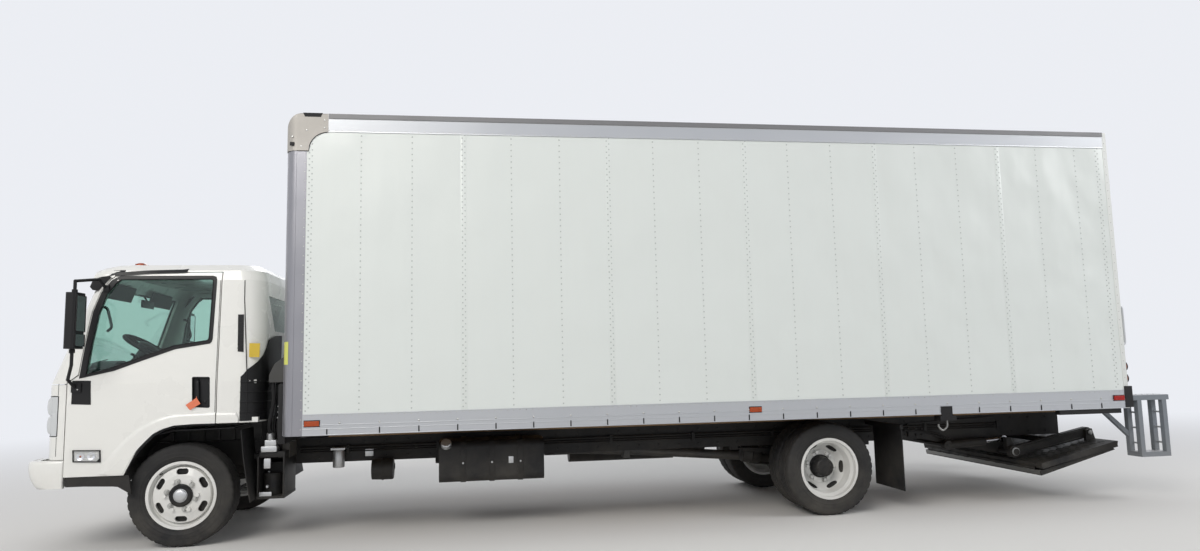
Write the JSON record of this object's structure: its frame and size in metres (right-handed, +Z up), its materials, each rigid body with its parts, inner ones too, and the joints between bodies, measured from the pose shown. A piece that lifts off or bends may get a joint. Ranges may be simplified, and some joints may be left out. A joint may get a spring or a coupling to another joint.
{
  "type": "box truck",
  "caption": "Low cab-forward box truck with a tilting cab, a long sheet-and-post cargo body and a liftgate folded under its rear.",
  "frame": {"origin": "on the ground under the middle of the truck, half way along it", "axes": "+X forward along the truck, +Y to its left, +Z up"},
  "size_m": [9.7918, 2.6, 3.4537],
  "materials": {
    "white_cab_paint": "gloss white cab paint",
    "white_panel": "prepainted white sheet",
    "black_steel": "black chassis paint",
    "tyre": "black tyre rubber",
    "white_wheel": "white wheel paint",
    "glass": "green tinted glass",
    "lamp_lens": "clear and amber lamp lenses",
    "marker_lens": "amber and red marker lenses",
    "black_plastic": "moulded black plastic",
    "dash_plastic": "grey dash plastic",
    "duct_plastic": "dark grey duct plastic",
    "seat_cloth": "grey seat cloth",
    "rail_metal": "bright extruded aluminium",
    "post_metal": "grey anodised post",
    "cap_metal": "cast corner cap",
    "grey_steel": "grey step paint",
    "black_rubber": "black rubber",
    "engine_metal": "cast iron",
    "cylinder_metal": "steel cylinder",
    "floor_wood": "hardwood floor on steel members"
  },
  "bodies": {
    "chassis": {"frame": "black_steel", "front_bumper": "white_cab_paint", "front_axle": "black_steel", "leaf_springs": "black_steel", "rear_axle": "black_steel", "engine_block": "engine_metal", "driveline": "engine_metal", "fuel_tank": "black_steel", "battery_box": "black_steel", "exhaust": "black_steel", "air_duct": "duct_plastic", "mudguards": "black_rubber", "side_equipment": "black_steel", "body_floor": "floor_wood", "left_wall": "white_panel", "right_wall": "white_panel", "front_wall": "white_panel", "corner_posts": "post_metal", "corner_caps": "cap_metal", "body_roof": "rail_metal", "side_rails": "rail_metal", "rear_frame": "white_panel", "rollup_door": "white_panel", "body_lamps": "marker_lens", "rear_steps": "grey_steel", "dock_bumpers": "black_rubber", "gate_mount": "black_steel"},
    "knuckle_left": {"knuckle_left": "black_steel"},
    "knuckle_right": {"knuckle_right": "black_steel"},
    "tie_rod": {"tie_rod": "black_steel"},
    "front_left_wheel": {"front_left_tyre": "tyre", "front_left_rim": "white_wheel"},
    "front_right_wheel": {"front_right_tyre": "tyre", "front_right_rim": "white_wheel"},
    "rear_left_wheels": {"rear_left_tyres": "tyre", "rear_left_rims": "white_wheel"},
    "rear_right_wheels": {"rear_right_tyres": "tyre", "rear_right_rims": "white_wheel"},
    "cab": {"cab_shell": "white_cab_paint", "cab_front_panel": "white_cab_paint", "cab_lamps": "lamp_lens", "cab_glass": "glass", "dashboard": "dash_plastic", "seats": "seat_cloth", "arch_liners": "black_plastic"},
    "left_door": {"left_door": "white_cab_paint", "left_door_glass": "glass", "left_mirror": "black_plastic"},
    "right_door": {"right_door": "white_cab_paint", "right_door_glass": "glass", "right_mirror": "black_plastic"},
    "lift_arms": {"lift_arms": "black_steel"},
    "platform": {"platform": "black_steel"},
    "lift_barrels": {"lift_barrels": "black_steel"},
    "lift_rods": {"lift_rods": "cylinder_metal"}
  },
  "joints": [
    {"name": "steer_left", "type": "hinge", "parent": "chassis", "child": "knuckle_left", "pos_m": [3.784, 0.7475, 0.4], "axis": [0, 0, 1], "range_deg": [-36, 36]},
    {"name": "steer_right", "type": "hinge", "parent": "chassis", "child": "knuckle_right", "pos_m": [3.784, -0.7475, 0.4], "axis": [0, 0, 1], "range_deg": [-36, 36]},
    {"name": "tie_rod_link", "type": "hinge", "parent": "knuckle_left", "child": "tie_rod", "pos_m": [3.634, 0.6875, 0.315], "axis": [0, 0, 1], "range_deg": [-36, 36]},
    {"name": "front_left_spin", "type": "hinge", "parent": "knuckle_left", "child": "front_left_wheel", "pos_m": [3.784, 0.8325, 0.4], "axis": [0, 1, 0], "continuous": true},
    {"name": "front_right_spin", "type": "hinge", "parent": "knuckle_right", "child": "front_right_wheel", "pos_m": [3.784, -0.8325, 0.4], "axis": [0, 1, 0], "continuous": true},
    {"name": "rear_left_spin", "type": "hinge", "parent": "chassis", "child": "rear_left_wheels", "pos_m": [-1.596, 0.825, 0.4], "axis": [0, 1, 0], "continuous": true},
    {"name": "rear_right_spin", "type": "hinge", "parent": "chassis", "child": "rear_right_wheels", "pos_m": [-1.596, -0.825, 0.4], "axis": [0, 1, 0], "continuous": true},
    {"name": "cab_tilt", "type": "hinge", "parent": "chassis", "child": "cab", "pos_m": [4.714, 0, 0.8], "axis": [0, 1, 0], "range_deg": [0, 45]},
    {"name": "left_door_swing", "type": "hinge", "parent": "cab", "child": "left_door", "pos_m": [4.59, 1.016, 1], "axis": [0, 0, -1], "range_deg": [0, 70]},
    {"name": "right_door_swing", "type": "hinge", "parent": "cab", "child": "right_door", "pos_m": [4.59, -1.016, 1], "axis": [0, 0, 1], "range_deg": [0, 70]},
    {"name": "gate_lift", "type": "hinge", "parent": "chassis", "child": "lift_arms", "pos_m": [-3.666, 0, 0.43], "axis": [0, -1, 0], "range_deg": [0, 34]},
    {"name": "platform_level", "type": "hinge", "parent": "lift_arms", "child": "platform", "pos_m": [-4.4561, 0, 0.58931], "axis": [0, -1, 0], "range_deg": [-21.42, 0]},
    {"name": "cylinder_swing", "type": "hinge", "parent": "chassis", "child": "lift_barrels", "pos_m": [-3.046, 0, 0.5], "axis": [0, -1, 0], "range_deg": [-1, 2]},
    {"name": "rod_slide", "type": "slide", "parent": "lift_barrels", "child": "lift_rods", "axis": [-0.9978, 0, 0.0665], "range_m": [0, 0.0664]}
  ],
  "couplings": [
    {"joint": "steer_right", "follows": "steer_left", "ratio": 1},
    {"joint": "tie_rod_link", "follows": "steer_left", "ratio": -1},
    {"joint": "platform_level", "follows": "gate_lift", "ratio": -0.62},
    {"joint": "cylinder_swing", "follows": "gate_lift", "ratio": 0.03019},
    {"joint": "rod_slide", "follows": "gate_lift", "m_per_rad": 0.1085}
  ]
}
